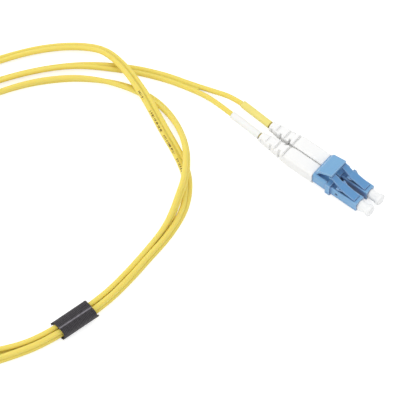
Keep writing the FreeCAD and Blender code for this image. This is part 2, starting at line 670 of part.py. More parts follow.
def duplex_clip(end):
    """Clip that snaps over both necks from above: two square channels, open underneath."""
    body = new_body(node_name(end, "duplex_clip"))
    half_width = S.clip_width / 2
    pad(body, rectangle(body, "YZ", (-half_width, S.clip_bottom), (half_width, S.clip_top), -CLIP_FRONT),
        S.clip_length)
    round_edges(body, S.clip_edge, runs_along_x)
    half_channel = S.neck_side / 2 + S.slip_gap
    for side in (1, -1):
        axis = S.pitch / 2 * side
        pocket(body, rectangle(body, "YZ", (axis - half_channel, AXIS_HEIGHT - half_channel),
                               (axis + half_channel, AXIS_HEIGHT + half_channel)))
        pocket(body, rectangle(body, "YZ", (axis - S.clip_slot / 2, S.clip_bottom - OVERCUT),
                               (axis + S.clip_slot / 2, AXIS_HEIGHT)))
    pocket(body, rectangle(body, "XZ", (S.clip_rib - CLIP_FRONT, S.clip_top - S.clip_recess_depth),
                           (CLIP_FRONT + OVERCUT, S.clip_top + OVERCUT)),
           S.clip_recess_width, symmetric=True)
    return place(body, end)


def trigger(end):
    """Thumb plate hinged at the clip's rear top edge; its front edge lies over both latches."""
    body = new_body(node_name(end, "trigger"))
    knuckle = S.hinge_radius
    rear_x = S.hinge_back - S.plate_rear
    front_x = S.hinge_back + S.plate_front
    rear_z = S.plate_rear_height - HINGE_HEIGHT
    front_z = S.plate_front_height - HINGE_HEIGHT
    thick = S.plate_thickness
    profile = [(-knuckle, 0), (-knuckle, knuckle), (rear_x, rear_z), (front_x, front_z),
               (front_x + S.plate_front_lean, front_z - thick),
               (rear_x + S.plate_rear_inset, rear_z - thick), (knuckle, 0)]
    pad(body, outline(body, "XZ", profile), S.plate_rear_width, symmetric=True)
    pad(body, disc(body, "XZ", knuckle * 2), S.plate_rear_width, symmetric=True)
    rear_half, front_half = S.plate_rear_width / 2, S.plate_front_width / 2
    beyond, outside = front_x + OVERCUT, rear_half + OVERCUT
    for side in (1, -1):
        pocket(body, outline(body, "XY", [(rear_x, rear_half * side), (front_x, front_half * side),
                                          (beyond, front_half * side), (beyond, outside * side),
                                          (rear_x, outside * side)]))
    return place(body, end, forward=-S.hinge_back, height=HINGE_HEIGHT)


def rounded_path(points):
    """Straight runs joined by tangent arcs, as a wire, and the arcs' radii."""
    edges, radii = [], []
    start = points[0]
    for before, corner, after in zip(points, points[1:], points[2:]):
        inward = (corner - before).normalize()
        outward = (after - corner).normalize()
        half_turn = inward.getAngle(outward) / 2
        reach = BEND_SHARE * min(corner.distanceToPoint(before), corner.distanceToPoint(after))
        radii.append(reach / math.tan(half_turn))
        arc_start = corner - inward * reach
        arc_end = corner + outward * reach
        to_middle = radii[-1] / math.cos(half_turn) - radii[-1]
        middle = corner + (outward - inward).normalize() * to_middle
        edges.append(Part.LineSegment(start, arc_start).toShape())
        edges.append(Part.Arc(arc_start, middle, arc_end).toShape())
        start = arc_end
    edges.append(Part.LineSegment(start, points[-1]).toShape())
    return Part.Wire(edges), radii


def zip_headings():
    """The zip stretch's level direction at each point, halfway between the runs that meet there."""
    places = [Vector(x, y, 0) for x, y, lift, lie in ZIP_ROUTE]
    runs = [(after - before).normalize() for before, after in zip(places, places[1:])]
    return [(before + after).normalize() for before, after in zip(runs[:1] + runs, runs + runs[-1:])]


def strand_points(side):
    """The zip stretch's corners for one leg: side +1 is leg b, left of the way from near to far."""
    half = SIZES["strand_spacing"] / 2
    radius = SIZES["cord_diameter"] / 2
    points = []
    for (x, y, lift, lie), along in zip(ZIP_ROUTE, zip_headings()):
        tilt = math.radians(lie)
        level, raised = half * math.cos(tilt) * side, half * math.sin(tilt)
        middle = Vector(x, y, lift + radius + raised)
        points.append(middle + Vector(-along.y * level, along.x * level, raised * side))
    return points


def leg_points(leg):
    """The corners of one leg's line, from the near crimp to the far crimp."""
    near_free, far_free = ([Vector(*point) for point in points] for points in FREE_POINTS[leg])
    side = 1 if leg == "b" else -1
    axis = AXIS_HEIGHT.value
    near_y = SIZES["pitch"] / 2 * SIDES[(NEAR, leg)]
    far_x = SIZES["far_x"] + SIZES["pitch"] / 2 * SIDES[(FAR, leg)]
    far_y = SIZES["far_y"]
    bend = SLEEVE_FRONT.value + SIZES["sleeve_gap"] / 2
    straight_end = SLEEVE_FRONT.value - SIZES["sleeve_length"] - SIZES["sleeve_run"]
    sideways = (bend - straight_end) * math.tan(math.radians(SIZES["leg_yaw"]))
    near_end = [Vector(-SIZES["leg_start"], near_y, axis), Vector(bend, near_y, axis),
                Vector(straight_end, near_y + sideways, axis)]
    far_end = [Vector(far_x + sideways, far_y - straight_end, axis), Vector(far_x, far_y - bend, axis),
               Vector(far_x, far_y + SIZES["leg_start"], axis)]
    return near_end + near_free + strand_points(side) + far_free + far_end


def cord_leg(leg):
    """One leg of the duplex cord as a tube with flat sides."""
    points = leg_points(leg)
    path, radii = rounded_path(points)
    radius = SIZES["cord_diameter"] / 2
    spokes = [2 * math.pi * (number + 0.5) / CORD_SIDES for number in range(CORD_SIDES)]
    corners = [points[0] + Vector(0, radius * math.cos(spoke), radius * math.sin(spoke))
               for spoke in spokes]
    section = Part.makePolygon(corners + corners[:1])
    tube = path.makePipeShell([section], True, False)
    label = f"cord_{leg}"
    item = doc.addObject("Part::Feature", label)
    item.Label = label
    item.Shape = tube
    swept = Part.Face(section).Area * path.Length
    print(f"{label}: {len(points)} points, length {path.Length:.1f} mm, smallest radius "
          f"{min(radii):.1f} mm, volume {tube.Volume:.1f} of {swept:.1f} mm3")
    print("  radii:", " ".join(f"{bend:.0f}" for bend in radii))
    return item


def cable_strap():
    """Hook-and-loop strap wound round the two stretches of cord that lie on edge."""
    body = new_body("cable_strap")
    pad(body, outline(body, "YZ", chamfered(S.strap_width, S.strap_height, S.strap_edge)), S.strap_length,
        symmetric=True)
    inner_width = S.strap_width - S.strap_wall * 2
    inner_height = S.strap_height - S.strap_wall * 2
    pocket(body, outline(body, "YZ", chamfered(inner_width, inner_height, S.strap_inner_edge)))
    height = S.strap_height / 2
    body.Placement = FreeCAD.Placement(Vector(SIZES["strap_x"], SIZES["strap_y"], height.value),
                                       FreeCAD.Rotation(Vector(0, 0, 1), SIZES["strap_heading"]))
    for axis, size in zip("xyz", (S.strap_x, S.strap_y, height)):
        body.setExpression(f".Placement.Base.{axis}", size.text)
    return body


LEG_PIECES = [plug_housing, latch, ferrule, ferrule_flange, ferrule_spring, backbone, crimp_sleeve,
              buffered_fibre, boot, id_sleeve, dust_cap]


def build():
    pieces = []
    for end in (NEAR, FAR):
        for leg in ("a", "b"):
            pieces += [make(end, leg) for make in LEG_PIECES]
        pieces += [duplex_clip(end), trigger(end)]
    pieces += [cord_leg("a"), cord_leg("b"), cable_strap()]
    doc.recompute()
    return pieces


def check(pieces):
    for item in doc.Objects:
        if "Invalid" in item.State or "Error" in item.State:
            raise RuntimeError(f"{item.Name}: {item.State}")
    for piece in pieces:
        if piece.Shape.isNull() or not piece.Shape.isValid():
            raise RuntimeError(f"{piece.Label}: bad shape")


def write(pieces):
    os.makedirs("parts", exist_ok=True)
    for piece in pieces:
        piece.Shape.exportStep(f"parts/{piece.Label}.step")


PIECES = build()
check(PIECES)
write(PIECES)
print(f"{len(PIECES)} pieces written")
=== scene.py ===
"""Looks of the duplex LC fibre patch cord: jackets, sleeves, boots, plugs, caps and the strap.

All lengths are in metres and all angles in degrees, unless a line says otherwise.
"""
import math

import bpy
from mathutils import Matrix, Vector


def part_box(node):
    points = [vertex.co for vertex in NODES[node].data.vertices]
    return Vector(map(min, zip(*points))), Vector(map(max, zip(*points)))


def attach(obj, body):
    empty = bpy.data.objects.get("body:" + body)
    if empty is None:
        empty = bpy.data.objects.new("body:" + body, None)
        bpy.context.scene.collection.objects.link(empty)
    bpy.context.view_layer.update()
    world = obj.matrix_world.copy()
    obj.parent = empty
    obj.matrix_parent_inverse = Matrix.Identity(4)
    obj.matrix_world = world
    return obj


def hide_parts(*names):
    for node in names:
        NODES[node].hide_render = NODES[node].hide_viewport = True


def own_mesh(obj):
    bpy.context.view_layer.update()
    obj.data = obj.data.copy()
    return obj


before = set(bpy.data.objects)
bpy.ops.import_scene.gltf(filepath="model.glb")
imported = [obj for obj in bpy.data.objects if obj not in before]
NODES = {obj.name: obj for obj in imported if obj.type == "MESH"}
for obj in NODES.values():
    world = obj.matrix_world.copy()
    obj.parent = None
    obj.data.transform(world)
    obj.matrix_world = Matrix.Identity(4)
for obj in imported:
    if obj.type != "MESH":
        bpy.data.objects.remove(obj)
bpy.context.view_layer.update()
UP = Vector((0, 0, 1))

# ---------------------------------------------------------------- camera

CAMERA_AZIMUTH = 39.6
CAMERA_ELEVATION = 58.0
CAMERA_DISTANCE = 0.9
FRAME_WIDTH = 0.14759           # that the picture spans at the target
TARGET_RIGHT = -0.0472          # the picture's middle from the origin, along its right and up directions
TARGET_UP = -0.00813
SENSOR_WIDTH = 36.0             # millimetres, as the lens is
NEAREST, FARTHEST = 0.01, 10    # that the camera sees


def make_camera():
    """The camera, turned to its azimuth and elevation, looking at its target from its distance."""
    azimuth, elevation = math.radians(CAMERA_AZIMUTH), math.radians(CAMERA_ELEVATION)
    right = Vector((math.cos(azimuth), math.sin(azimuth), 0))
    back = Vector((math.sin(azimuth) * math.cos(elevation), -math.cos(azimuth) * math.cos(elevation),
                   math.sin(elevation)))
    up = back.cross(right)
    target = right * TARGET_RIGHT + up * TARGET_UP
    data = bpy.data.cameras.new("camera")
    data.sensor_width = SENSOR_WIDTH
    data.lens = SENSOR_WIDTH * CAMERA_DISTANCE / FRAME_WIDTH
    data.clip_start = NEAREST
    data.clip_end = FARTHEST
    camera = bpy.data.objects.new("camera", data)
    turn = Matrix((right, up, back)).transposed().to_4x4()
    camera.matrix_world = Matrix.Translation(target + back * CAMERA_DISTANCE) @ turn
    bpy.context.scene.collection.objects.link(camera)
    bpy.context.scene.camera = camera


make_camera()

# ---------------------------------------------------------------- the cord's route

CORD_DIAMETER = 0.002
STRAND_SPACING = 0.0021         # between the two legs' middles in the zip stretch
# x, y, height of the lower leg above the floor, lie (0 = legs level, 90 = on edge)
ZIP_ROUTE = [
    (-0.066, -0.0016, 0.0, 0), (-0.073, -0.0035, 0.0, 0), (-0.08, -0.0062, 0.0, 0),
    (-0.0862, -0.0092, 0.0, 5), (-0.0926, -0.0131, 0.0, 10), (-0.1002, -0.0184, 0.0, 30),
    (-0.107, -0.0246, 0.0, 45), (-0.1136, -0.0324, 0.0, 45), (-0.1196, -0.0412, 0.0, 45),
    (-0.1265, -0.0535, 0.0, 40), (-0.1325, -0.068, 0.0, 30), (-0.1363, -0.084, 0.0, 20),
    (-0.1373, -0.101, 0.0, 10), (-0.1344, -0.1175, 0.0, 0), (-0.127, -0.132, 0.0, 0),
    (-0.1155, -0.1438, 0.0, 20), (-0.1005, -0.1513, 0.0, 45), (-0.084, -0.1538, 0.0, 65),
    (-0.0675, -0.151, 0.0, 80), (-0.0535, -0.1425, 0.0, 85), (-0.0415, -0.1298, 0.0004, 85),
    (-0.0347, -0.1175, 0.0013, 85), (-0.0295, -0.0942, 0.0013, 85), (-0.0294, -0.0795, 0.0005, 80),
    (-0.0302, -0.067, 0.0, 79), (-0.0308, -0.0577, 0.0006, 78), (-0.0325, -0.0505, 0.0020, 77),
    (-0.0351, -0.0437, 0.0035, 75), (-0.0372, -0.0382, 0.0042, 72), (-0.0405, -0.033, 0.0041, 68),
    (-0.0439, -0.0286, 0.0033, 68), (-0.0479, -0.0246, 0.0026, 70), (-0.0534, -0.0204, 0.0007, 70),
    (-0.0589, -0.0176, 0.0, 60), (-0.0647, -0.0159, 0.0, 48), (-0.0704, -0.0152, 0.0, 38),
    (-0.076, -0.0155, 0.0, 35), (-0.0816, -0.0166, 0.0, 38), (-0.0881, -0.019, 0.0, 50),
    (-0.0946, -0.0225, 0.0, 65), (-0.1017, -0.0276, 0.0, 76), (-0.11, -0.0364, 0.0, 76),
    (-0.1164, -0.046, 0.0, 70), (-0.1222, -0.058, 0.0, 60), (-0.127, -0.0715, 0.0, 50),
    (-0.1298, -0.0865, 0.0, 40), (-0.1306, -0.102, 0.0003, 25), (-0.1296, -0.1165, 0.0014, 12),
    (-0.1275, -0.128, 0.0026, 3), (-0.124, -0.1385, 0.0027, 0), (-0.117, -0.1498, 0.0016, 10),
    (-0.106, -0.158, 0.0, 30), (-0.0905, -0.1628, 0.0, 50), (-0.0735, -0.1615, 0.0, 70),
    (-0.058, -0.1535, 0.0, 82), (-0.0466, -0.142, 0.0, 85), (-0.0393, -0.131, 0.0004, 85),
    (-0.0325, -0.118, 0.0013, 85), (-0.0273, -0.0947, 0.0013, 85), (-0.0273, -0.0803, 0.0005, 80),
    (-0.0281, -0.0685, 0.0, 78), (-0.0283, -0.0602, 0.0, 78), (-0.0293, -0.0525, 0.0, 76),
    (-0.0314, -0.0451, 0.0, 62), (-0.0349, -0.039, 0.0, 42), (-0.0392, -0.034, 0.0, 25),
    (-0.0438, -0.0305, 0.0, 15), (-0.0504, -0.0269, 0.0, 3), (-0.0588, -0.0236, 0.0012, 0),
    (-0.0661, -0.0206, 0.003, 0), (-0.0738, -0.0174, 0.004, 8), (-0.0815, -0.0146, 0.004, 20),
    (-0.0893, -0.0122, 0.0037, 24), (-0.0983, -0.0108, 0.0027, 26), (-0.1054, -0.0123, 0.0008, 26),
    (-0.1129, -0.0172, 0.0, 26), (-0.1198, -0.0247, 0.0, 25), (-0.1256, -0.0332, 0.0, 25),
    (-0.133, -0.0465, 0.0, 15), (-0.1398, -0.0595, 0.0, 0),
]
# x, y, z of each leg's middle, from the crimp to the zip stretch and from there to the far crimp
LEG_A_START = [
    (-0.00915, 0.00313, 0.00305), (-0.0295, 0.00313, 0.00305), (-0.04766, 0.00424, 0.00305),
    (-0.057, 0.0022, 0.0014),
]
LEG_B_START = [
    (-0.00915, -0.00313, 0.00305), (-0.0295, -0.00313, 0.00305), (-0.04766, -0.00201, 0.00305),
    (-0.057, -0.001, 0.0014),
]
LEG_A_END = [
    (-0.1456, -0.0685, 0.001), (-0.1509, -0.0795, 0.0016), (-0.15351, -0.09184, 0.00305),
    (-0.15463, -0.11, 0.00305), (-0.15463, -0.13035, 0.00305),
]
LEG_B_END = [
    (-0.142, -0.0695, 0.001), (-0.1457, -0.08, 0.0016), (-0.14726, -0.09184, 0.00305),
    (-0.14838, -0.11, 0.00305), (-0.14838, -0.13035, 0.00305),
]
PATH_STEPS = 7                  # points read from the spline for each of the route's own
TUBE_SIDES = 18


def strand_route(side):
    """The zip stretch's points for one leg: side +1 is leg b, left of the way from near to far."""
    half = STRAND_SPACING / 2
    places = [Vector((x, y, 0)) for x, y, lift, lie in ZIP_ROUTE]
    runs = [(after - before).normalized() for before, after in zip(places, places[1:])]
    points = []
    for place, run_in, run_out, row in zip(places, runs[:1] + runs, runs + runs[-1:], ZIP_ROUTE):
        lift, lie = row[2:]
        tilt = math.radians(lie)
        left = UP.cross(run_in + run_out).normalized()
        height = lift + CORD_DIAMETER / 2 + half * math.sin(tilt)
        offset = left * math.cos(tilt) + UP * math.sin(tilt)
        points.append(place + UP * height + offset * (half * side))
    return points


def smooth_line(points):
    """Points along the NURBS spline that has the route's points as its control points."""
    curve = bpy.data.curves.new("route", "CURVE")
    curve.dimensions = "3D"
    curve.resolution_u = PATH_STEPS
    spline = curve.splines.new("NURBS")
    spline.points.add(len(points) - 1)
    for control, point in zip(spline.points, points):
        control.co = (*point, 1)
    spline.order_u = 3
    spline.use_endpoint_u = True
    holder = bpy.data.objects.new("route", curve)
    mesh = bpy.data.meshes.new_from_object(holder)
    line = [vertex.co.copy() for vertex in mesh.vertices]
    bpy.data.objects.remove(holder)
    bpy.data.curves.remove(curve)
    bpy.data.meshes.remove(mesh)
    return line


def distances(line):
    """How far along the line each of its points lies."""
    reached = [0.0]
    for a, b in zip(line, line[1:]):
        reached.append(reached[-1] + (b - a).length)
    return reached


def directions(line):
    """The line's direction at each of its points."""
    last = len(line) - 1
    return [(line[min(i + 1, last)] - line[max(i - 1, 0)]).normalized() for i in range(len(line))]


# ---------------------------------------------------------------- mesh helpers


def mesh_object(name, vertices, faces, uvs=None, smooth=True):
    """A mesh object; uvs gives one (u, v) for each face corner."""
    mesh = bpy.data.meshes.new(name)
    mesh.from_pydata([tuple(v) for v in vertices], [], faces)
    if uvs:
        layer = mesh.uv_layers.new(name="metres")
        for slot, uv in zip(layer.data, uvs):
            slot.uv = uv
    mesh.polygons.foreach_set("use_smooth", [smooth] * len(mesh.polygons))
    mesh.update()
    item = bpy.data.objects.new(name, mesh)
    bpy.context.scene.collection.objects.link(item)
    return item


def tube(name, line, radius, sides=TUBE_SIDES):
    """A closed tube round a line; u runs along it and v round it, from the top."""
    vertices, faces, uvs = [], [], []
    distance = distances(line)
    for point, along in zip(line, directions(line)):
        side = along.cross(UP).normalized()
        top = side.cross(along)
        for step in range(sides):
            angle = 2 * math.pi * step / sides
            vertices.append(point + top * (radius * math.cos(angle)) + side * (radius * math.sin(angle)))
    for ring in range(len(line) - 1):
        for step in range(sides):
            following = (step + 1) % sides
            faces.append((ring * sides + step, ring * sides + following,
                          (ring + 1) * sides + following, (ring + 1) * sides + step))
            v0, v1 = (2 * math.pi * radius * (step + k) / sides for k in (0, 1))
            u0, u1 = distance[ring], distance[ring + 1]
            uvs += [(u0, v0), (u0, v1), (u1, v1), (u1, v0)]
    faces.append(tuple(reversed(range(sides))))
    faces.append(tuple(range((len(line) - 1) * sides, len(line) * sides)))
    uvs += [(0, 0)] * sides + [(distance[-1], 0)] * sides
    return mesh_object(name, vertices, faces, uvs)


# ---------------------------------------------------------------- materials


def colour(red, green, blue):
    """A colour given as it looks on screen, 0 to 255."""
    levels = [c / 255 for c in (red, green, blue)]
    return tuple(c / 12.92 if c <= 0.04045 else ((c + 0.055) / 1.055) ** 2.4 for c in levels) + (1.0,)


class Material:
    """A node material with a principled shader and short ways to add to it.

    A noise keeps mostly to the middle of 0 to 1, so mapped() takes 0.3 to 0.7 unless it is told.
    """

    def __init__(self, name, base, roughness, **shader):
        self.material = bpy.data.materials.new(name)
        self.material.use_nodes = True
        self.material.diffuse_color = base
        self.tree = self.material.node_tree
        self.shader = self.tree.nodes["Principled BSDF"]
        self.shader.inputs["Base Color"].default_value = base
        self.shader.inputs["Roughness"].default_value = roughness
        for socket, value in shader.items():
            self.shader.inputs[socket.replace("_", " ")].default_value = value
        self.normal = None

    def node(self, kind, **settings):
        node = self.tree.nodes.new("ShaderNode" + kind)
        for setting, value in settings.items():
            setattr(node, setting, value)
        return node

    def link(self, source, target):
        self.tree.links.new(source, target)

    def place(self, kind="Object"):
        return self.node("TexCoord").outputs[kind]

    def noise(self, scale, detail=3.0, coordinate=None):
        node = self.node("TexNoise")
        node.inputs["Scale"].default_value = scale
        node.inputs["Detail"].default_value = detail
        self.link(coordinate or self.place(), node.inputs["Vector"])
        return node.outputs["Fac"]

    def mapped(self, value, low, high, from_low=0.3, from_high=0.7):
        """The value stretched so that from_low becomes low and from_high becomes high."""
        node = self.node("MapRange")
        node.inputs["From Min"].default_value = from_low
        node.inputs["From Max"].default_value = from_high
        node.inputs["To Min"].default_value = low
        node.inputs["To Max"].default_value = high
        self.link(value, node.inputs["Value"])
        return node.outputs["Result"]

    def math(self, operation, first, second=None):
        node = self.node("Math", operation=operation)
        for socket, value in zip(node.inputs, (first, second)):
            if isinstance(value, (int, float)):
                socket.default_value = value
            elif value is not None:
                self.link(value, socket)
        return node.outputs["Value"]

    def scaled(self, coordinate, scale):
        node = self.node("Mapping")
        node.inputs["Scale"].default_value = scale
        self.link(coordinate, node.inputs["Vector"])
        return node.outputs["Vector"]

    def tint(self, factor, other):
        """Mix another colour into the base colour, on top of what is there."""
        node = self.node("Mix", data_type="RGBA")
        base = self.shader.inputs["Base Color"]
        self.link(factor, node.inputs["Factor"])
        if base.is_linked:
            self.link(base.links[0].from_socket, node.inputs["A"])
        else:
            node.inputs["A"].default_value = base.default_value
        node.inputs["B"].default_value = other
        self.link(node.outputs["Result"], base)

    def vary_roughness(self, value, low, high):
        self.link(self.mapped(value, low, high), self.shader.inputs["Roughness"])

    def rounded_edges(self, radius):
        node = self.node("Bevel", samples=4)
        node.inputs["Radius"].default_value = radius
        self.normal = node.outputs["Normal"]
        self.link(self.normal, self.shader.inputs["Normal"])

    def bump(self, height, distance, strength=1.0):
        node = self.node("Bump")
        node.inputs["Distance"].default_value = distance
        node.inputs["Strength"].default_value = strength
        self.link(height, node.inputs["Height"])
        if self.normal:
            self.link(self.normal, node.inputs["Normal"])
        self.normal = node.outputs["Normal"]
        self.link(self.normal, self.shader.inputs["Normal"])

    def openness(self, distance):
        """1 on open surfaces, less in creases and under overhangs within a distance."""
        node = self.node("AmbientOcclusion", samples=8)
        node.inputs["Distance"].default_value = distance
        return node.outputs["AO"]

    def painted_edge_highlight(self, other, amount, distance):
        """Painted highlight on outer edges, where the rounded normal leaves the true one and nothing is
        near.
        """
        lean = self.node("VectorMath", operation="DOT_PRODUCT")
        self.link(self.normal, lean.inputs[0])
        self.link(self.node("NewGeometry").outputs["Normal"], lean.inputs[1])
        edge = self.mapped(lean.outputs["Value"], 1.0, 0.0, 0.85, 0.995)
        free = self.mapped(self.openness(distance), 0.0, amount, 0.6, 0.85)
        self.tint(self.math("MULTIPLY", edge, free), other)

    def shaded_creases(self, shade, deep, distance):
        """Painted shade: one colour in shallow creases and a darker one in deep gaps."""
        openness = self.openness(distance)
        self.tint(self.mapped(openness, 0.6, 0.0, 0.4, 0.95), shade)
        self.tint(self.mapped(openness, 0.95, 0.0, 0.12, 0.42), deep)


def moulded_plastic(name, base, cloud, edge, shade, deep, roughness=0.36):
    """Injection-moulded plastic: satin, with a fine spark-eroded grain; edge is the colour of a painted
    highlight on its outer edges, shade and deep those of painted shade in its creases and gaps.
    """
    made = Material(name, base, roughness, Specular_IOR_Level=0.45, Subsurface_Weight=0.04,
                    Subsurface_Scale=0.0004)
    made.tint(made.mapped(made.noise(180, 4.0), 0.0, 0.35), cloud)
    # painted shade in creases, darker painted shade in deep gaps
    made.shaded_creases(shade, deep, 0.003)
    made.vary_roughness(made.noise(2500, 3.0), roughness - 0.05, roughness + 0.1)
    made.rounded_edges(0.00045)
    # painted highlight on the outer edges
    made.painted_edge_highlight(edge, 0.9, 0.0005)
    made.bump(made.noise(9000, 2.0), 0.000006, 0.6)
    return made.material


def boot_rubber(name, base, shade):
    """Soft white boot material: matt, letting light through its thin parts."""
    made = Material(name, base, 0.55, Specular_IOR_Level=0.25, Subsurface_Weight=0.2,
                    Subsurface_Scale=0.0008)
    made.shader.inputs["Subsurface Radius"].default_value = (1.0, 0.98, 0.95)
    made.tint(made.mapped(made.noise(140, 4.0), 0.0, 0.3), shade)
    made.vary_roughness(made.noise(1800, 3.0), 0.5, 0.65)
    made.rounded_edges(0.0003)
    made.bump(made.noise(5200, 3.0), 0.00001, 0.6)
    return made.material


def cap_plastic(name):
    """Milky polyethylene of the dust caps: soft, faintly see-through."""
    made = Material(name, colour(251, 252, 252), 0.4, Specular_IOR_Level=0.3, Subsurface_Weight=0.6,
                    Subsurface_Scale=0.0012)
    made.shader.inputs["Subsurface Radius"].default_value = (1.0, 1.0, 1.0)
    made.tint(made.mapped(made.noise(420, 3.0), 0.0, 0.4), colour(244, 248, 248))
    made.vary_roughness(made.noise(1500, 2.0), 0.32, 0.5)
    made.rounded_edges(0.0002)
    made.bump(made.noise(2600, 2.0), 0.00001, 0.5)
    return made.material


INK = colour(146, 121, 52)
MARK_LINE = 0.0060              # round the jacket from its top, where the ticks run
MARK_LOWEST, MARK_HIGHEST = 0.00039, 0.00065    # half heights of a tick
MARK_WIDTHS, MARK_HEIGHTS = 1900.0, 900.0       # scales of the noise along the jacket that sets them
MARK_SHARE = 0.48               # level of that noise above which there is a tick
# Where the ticks lie along leg b, from its near crimp.
MARKED_STRETCHES = ((0.8150, 0.8230), (0.8250, 0.8340), (0.8358, 0.8450), (0.8504, 0.8545))


def ink_marks(made, along, stretches):
    """Plain dark ticks of uneven width and height in a line along the jacket, on stretches of it."""
    split = made.node("SeparateXYZ")
    made.link(along, split.inputs["Vector"])
    u, v = split.outputs["X"], split.outputs["Y"]

    def uneven(scale):
        noise = made.node("TexNoise", noise_dimensions="1D")
        noise.inputs["Scale"].default_value = scale
        noise.inputs["Detail"].default_value = 0.0
        made.link(u, noise.inputs["W"])
        return noise.outputs["Fac"]

    reach = made.mapped(uneven(MARK_HEIGHTS), MARK_LOWEST, MARK_HIGHEST)
    band = made.math("LESS_THAN", made.math("ABSOLUTE", made.math("SUBTRACT", v, MARK_LINE)), reach)
    ticks = made.math("MULTIPLY", band, made.math("GREATER_THAN", uneven(MARK_WIDTHS), MARK_SHARE))
    inside = 0.0
    for start, end in stretches:
        past = made.math("GREATER_THAN", u, start)
        inside = made.math("ADD", made.math("MULTIPLY", past, made.math("LESS_THAN", u, end)), inside)
    return made.math("MULTIPLY", ticks, inside)


def jacket(name, base, dusty, marks=None):
    """Low-smoke cord jacket: matt, faintly ridged along its length by the extruder."""
    made = Material(name, base, 0.5, Specular_IOR_Level=0.3, Subsurface_Weight=0.45,
                    Subsurface_Scale=0.0012)
    made.shader.inputs["Subsurface Radius"].default_value = (1.0, 0.8, 0.4)
    along = made.place("UV")
    streaks = made.noise(1.0, 3.0, made.scaled(along, (60, 5200, 1)))
    made.tint(made.mapped(streaks, 0.0, 0.35), dusty)
    made.vary_roughness(made.noise(1.0, 2.0, made.scaled(along, (260, 2400, 1))), 0.42, 0.6)
    made.bump(made.noise(1.0, 3.0, made.scaled(along, (120, 7000, 1))), 0.000012, 0.7)
    if marks:
        made.tint(ink_marks(made, along, marks), INK)
    return made.material


WARP_SCALE, WEFT_SCALE = 560.0, 700.0


def strap_weave(name, lap_edge):
    """Black nylon loop tape: a fine plain weave under a thin pile, with a painted highlight along its
    lapped end, broken up by noise.
    """
    made = Material(name, colour(46, 43, 46), 0.6, Specular_IOR_Level=0.35, Sheen_Weight=0.2,
                    Sheen_Roughness=0.4)
    made.shader.inputs["Sheen Tint"].default_value = colour(150, 148, 156)
    cloth = made.place("UV")
    warp = made.node("TexWave", wave_type="BANDS", bands_direction="X")
    weft = made.node("TexWave", wave_type="BANDS", bands_direction="Y")
    for node, scale in ((warp, WARP_SCALE), (weft, WEFT_SCALE)):
        node.inputs["Scale"].default_value = scale
        node.inputs["Distortion"].default_value = 0.6
        made.link(cloth, node.inputs["Vector"])
    weave = made.math("MULTIPLY", warp.outputs["Fac"], weft.outputs["Fac"])
    made.tint(made.mapped(weave, 0.0, 0.7, 0.15, 0.8), colour(98, 94, 101))
    fluff = made.noise(1500, 5.0)
    made.tint(made.mapped(fluff, 0.0, 0.7, 0.48, 0.66), colour(26, 24, 28))
    split = made.node("SeparateXYZ")
    made.link(cloth, split.inputs["Vector"])
    # painted highlight: a pale band along the lapped end of the tape, broken up by noise
    from_lap = made.math("SUBTRACT", split.outputs["Y"], lap_edge)
    painted_lap_highlight = made.mapped(made.math("ABSOLUTE", from_lap), 1.0, 0.0, 0.00012, 0.00034)
    highlight_breakup = made.mapped(made.noise(1.0, 3.0, made.scaled(cloth, (900, 3000, 1))), 0.35, 0.9)
    made.tint(made.math("MULTIPLY", painted_lap_highlight, highlight_breakup), colour(152, 148, 156))
    made.bump(weave, 0.00008, 0.8)
    made.bump(fluff, 0.00006, 0.6)
    return made.material


def metal(name, base, roughness, streak_scale):
    """Turned or drawn metal with fine streaks and a little tarnish."""
    made = Material(name, base, roughness, Metallic=1.0)
    fine = made.noise(1.0, 3.0, made.scaled(made.place(), streak_scale))
    made.vary_roughness(fine, roughness - 0.07, roughness + 0.12)
    made.bump(fine, 0.000004, 0.5)
    made.tint(made.mapped(made.noise(600, 3.0), 0.0, 0.3), colour(120, 116, 108))
    return made.material


def ceramic(name):
    """Polished zirconia of the ferrules."""
    made = Material(name, colour(244, 243, 238), 0.12, Specular_IOR_Level=0.7, Subsurface_Weight=0.15,
                    Subsurface_Scale=0.0004, Coat_Weight=0.3)
    made.tint(made.mapped(made.noise(900, 3.0), 0.0, 0.25), colour(228, 226, 216))
    made.vary_roughness(made.noise(3000, 2.0), 0.08, 0.2)
    return made.material


# ---------------------------------------------------------------- pieces


def wear(item, material):
    """Put one material on the whole of a piece."""
    item.data.materials.clear()
    item.data.materials.append(material)


def make_cord(leg, start, end, side, material):
    """One leg as a round tube on the smooth line that the route's points draw."""
    line = smooth_line([Vector(p) for p in start] + strand_route(side) + [Vector(p) for p in end])
    piece = tube(f"cord_jacket_{leg}", line, CORD_DIAMETER / 2)
    wear(piece, material)
    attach(piece, "cord_set")
    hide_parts(f"cord_{leg}")
    return piece, line


WEB_THICKNESS = 0.0008
WEB_INSET = 0.0007              # of its edges from the legs' middles
WEB_SIDES = 4


def make_web(line_a, line_b, material):
    """The thin web that joins the two legs between the splits; its lines run side by side."""
    middles = [(a + b) / 2 for a, b in zip(line_a, line_b)]
    vertices, faces, uvs = [], [], []
    for a, b, along in zip(line_a, line_b, directions(line_a)):
        across = (b - a).normalized()
        thick = along.cross(across).normalized() * (WEB_THICKNESS / 2)
        inner, outer = a + across * WEB_INSET, b - across * WEB_INSET
        vertices += [inner + thick, outer + thick, outer - thick, inner - thick]
    distance = distances(middles)
    for ring in range(len(middles) - 1):
        for step in range(WEB_SIDES):
            here, following = ring * WEB_SIDES + step, ring * WEB_SIDES + (step + 1) % WEB_SIDES
            faces.append((here, following, following + WEB_SIDES, here + WEB_SIDES))
            v0, v1 = step * WEB_INSET, (step + 1) * WEB_INSET
            u0, u1 = distance[ring], distance[ring + 1]
            uvs += [(u0, v0), (u0, v1), (u1, v1), (u1, v0)]
    last = len(vertices) - WEB_SIDES
    faces += [(3, 2, 1, 0), (last, last + 1, last + 2, last + 3)]
    uvs += [(0, 0)] * (2 * WEB_SIDES)
    piece = mesh_object("cord_web", vertices, faces, uvs)
    wear(piece, material)
    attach(piece, "cord_set")
    return piece


